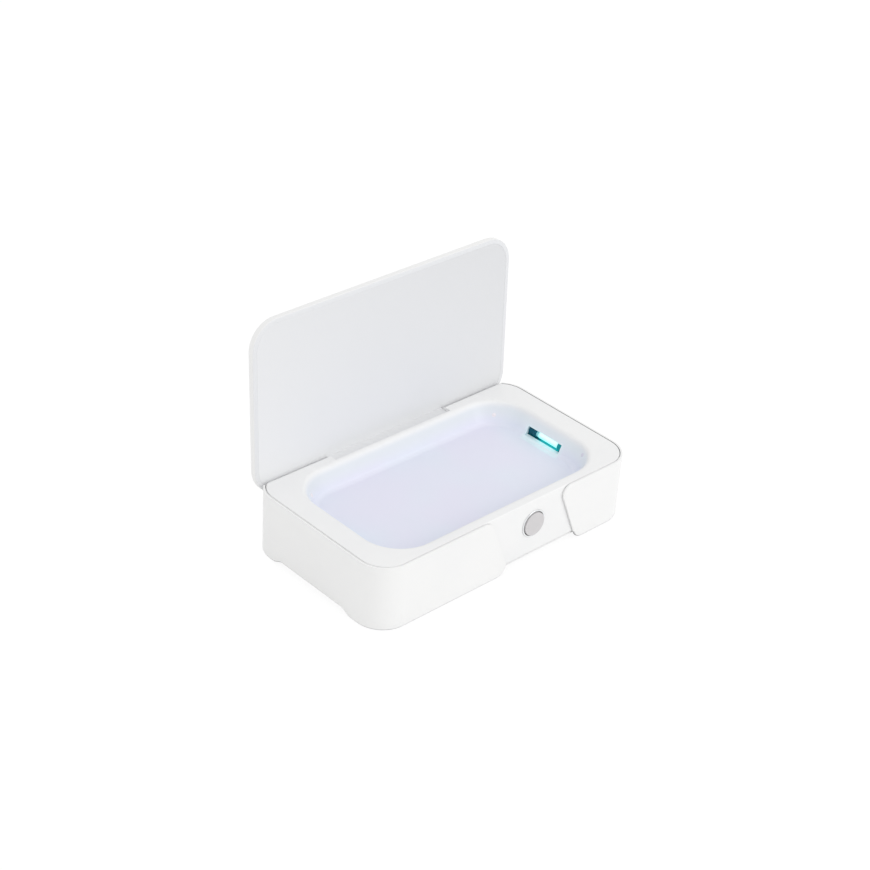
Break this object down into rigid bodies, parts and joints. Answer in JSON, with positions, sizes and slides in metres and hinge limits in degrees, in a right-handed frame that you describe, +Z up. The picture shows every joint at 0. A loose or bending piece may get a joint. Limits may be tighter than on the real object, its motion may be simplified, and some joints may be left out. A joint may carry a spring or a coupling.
{
  "type": "uv sterilizer",
  "caption": "Free-standing box with a hinged lid, a phone tray lit by ultraviolet lamps behind its end walls, wrap-round end covers and a round front button.",
  "frame": {"origin": "centre of the bounding box of the whole object with its lid open, on the surface it stands on", "axes": "+X along the long side, to the right as the user faces the button; +Y away from the user, towards the hinge; +Z up"},
  "size_m": [0.215, 0.1284, 0.1527],
  "materials": {
    "white_plastic": "semi-gloss white",
    "tray_plastic": "semi-gloss white",
    "lid_plastic": "satin pale grey",
    "rubber": "matt",
    "steel": "plated",
    "chrome": "polished",
    "button_grey": "satin",
    "lamp_glass": "lit tube",
    "reflector": "metallised",
    "socket_black": "moulded",
    "circuit_board": "lacquered",
    "copper": "enamelled wire",
    "ferrite": "matt"
  },
  "bodies": {
    "base": {"upper_housing": "tray_plastic", "bottom_cover": "white_plastic", "left_wrap_cover": "white_plastic", "right_wrap_cover": "white_plastic", "hinge_pin_left": "steel", "hinge_pin_right": "steel", "lid_sensor": "socket_black", "lamp_reflector_left": "reflector", "lamp_reflector_right": "reflector", "lamp_socket_left_front": "socket_black", "lamp_socket_left_rear": "socket_black", "lamp_socket_right_front": "socket_black", "lamp_socket_right_rear": "socket_black", "uv_lamp_left": "lamp_glass", "uv_lamp_right": "lamp_glass", "button_bezel": "chrome", "tact_switch": "socket_black", "button_board": "circuit_board", "main_board": "circuit_board", "charging_port": "steel", "lamp_driver": "socket_black", "charging_coil": "copper", "ferrite_sheet": "ferrite", "coil_carrier": "white_plastic", "rubber_foot_front_left": "rubber", "rubber_foot_front_right": "rubber", "rubber_foot_rear_left": "rubber", "rubber_foot_rear_right": "rubber", "case_screw_front_left": "steel", "case_screw_front_right": "steel", "case_screw_rear_left": "steel", "case_screw_rear_right": "steel", "board_screw_front_left": "steel", "board_screw_front_right": "steel", "board_screw_rear_left": "steel", "board_screw_rear_right": "steel"},
    "lid": {"lid_outer_shell": "white_plastic", "lid_inner_panel": "lid_plastic", "lid_magnet_left": "steel", "lid_magnet_right": "steel"},
    "button": {"button_cap": "button_grey", "switch_plunger": "button_grey"}
  },
  "joints": [
    {"name": "lid_hinge", "type": "hinge", "parent": "base", "child": "lid", "pos_m": [0, 0.04946, 0.0406], "axis": [1, 0, 0], "range_deg": [0, 92.3]},
    {"name": "button_press", "type": "slide", "parent": "base", "child": "button", "axis": [0, 1, 0], "range_m": [0, 0.0008], "stiffness_N_per_m": 1200, "springref_m": -0.0004}
  ]
}
